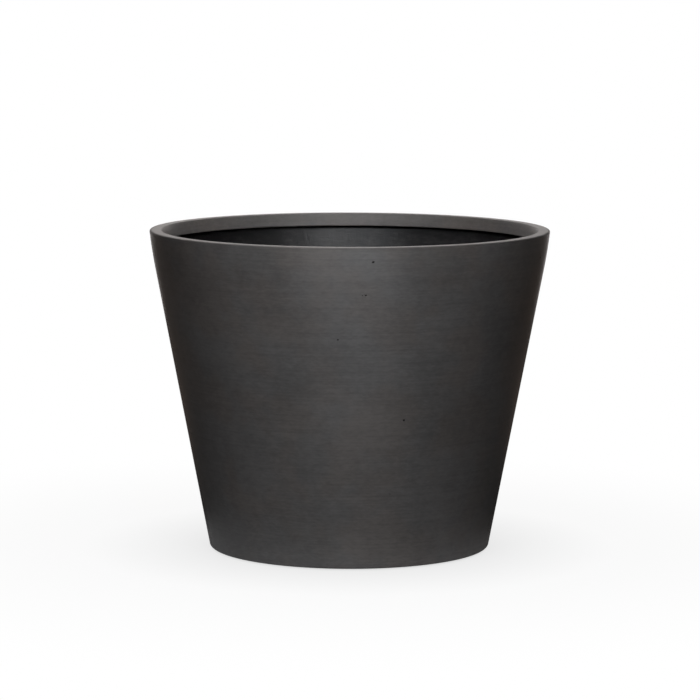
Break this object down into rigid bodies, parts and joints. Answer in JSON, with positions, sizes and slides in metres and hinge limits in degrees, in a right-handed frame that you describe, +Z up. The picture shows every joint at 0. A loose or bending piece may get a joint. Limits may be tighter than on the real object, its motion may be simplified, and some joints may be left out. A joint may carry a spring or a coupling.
{
  "type": "planter",
  "caption": "Round tapered floor planter with a thick inward rim, a dark lining inside, a foot ring on rubber pads and a rubber plug that lifts out of the drain hole.",
  "frame": {"origin": "on the floor, under the middle of the planter, at the bottom of its rubber pads", "axes": "+Z up along the planter's axis of turning, -Y towards the viewer of the picture, +X to the viewer's right"},
  "size_m": [0.5012, 0.5012, 0.4015],
  "materials": {
    "fibre_clay": "matte",
    "black_laminate": "matte",
    "plug_rubber": "matte",
    "pad_rubber": "matte"
  },
  "bodies": {
    "planter": {"outer_shell": "fibre_clay", "inner_lining": "black_laminate", "foot_pad_1": "pad_rubber", "foot_pad_2": "pad_rubber", "foot_pad_3": "pad_rubber", "foot_pad_4": "pad_rubber"},
    "plug": {"drain_plug": "plug_rubber"}
  },
  "joints": [
    {"name": "plug_lift", "type": "slide", "parent": "planter", "child": "plug", "axis": [0, 0, 1], "range_m": [0, 0.42]}
  ]
}
